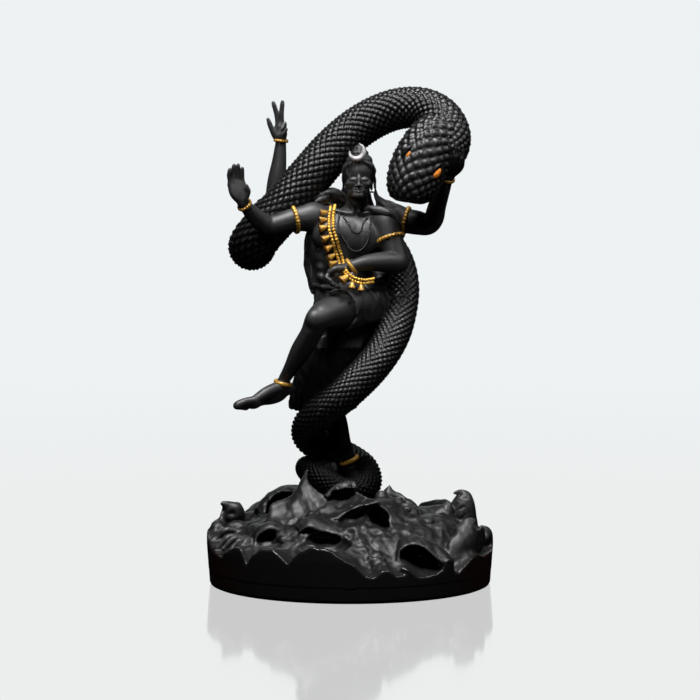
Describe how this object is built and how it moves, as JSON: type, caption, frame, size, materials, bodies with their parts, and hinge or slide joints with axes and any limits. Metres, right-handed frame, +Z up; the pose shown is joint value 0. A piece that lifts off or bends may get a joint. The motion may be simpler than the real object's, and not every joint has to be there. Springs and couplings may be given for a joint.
{
  "type": "shiva statuette",
  "caption": "Cast resin statuette of dancing Shiva, wound about by a great serpent, on a round base of breaking waves.",
  "frame": {"origin": "middle of the flat underside of the round base", "axes": "+Z up through the figure, +X to the viewer's right, -Y towards the viewer, whom the figure faces"},
  "size_m": [0.184, 0.184, 0.3182],
  "materials": {
    "black_resin": "satin charcoal-black cast resin with a soft grey sheen on its high points",
    "gold_paint": "deep yellow gold paint on the moulded jewellery, worn thin in the hollows",
    "silver_paint": "silver-white paint on the crescent in the hair",
    "amber_paint": "glossy amber paint in the serpent's eyes"
  },
  "bodies": {
    "root": {"dancing_shiva_statuette": "black_resin"}
  },
  "joints": []
}
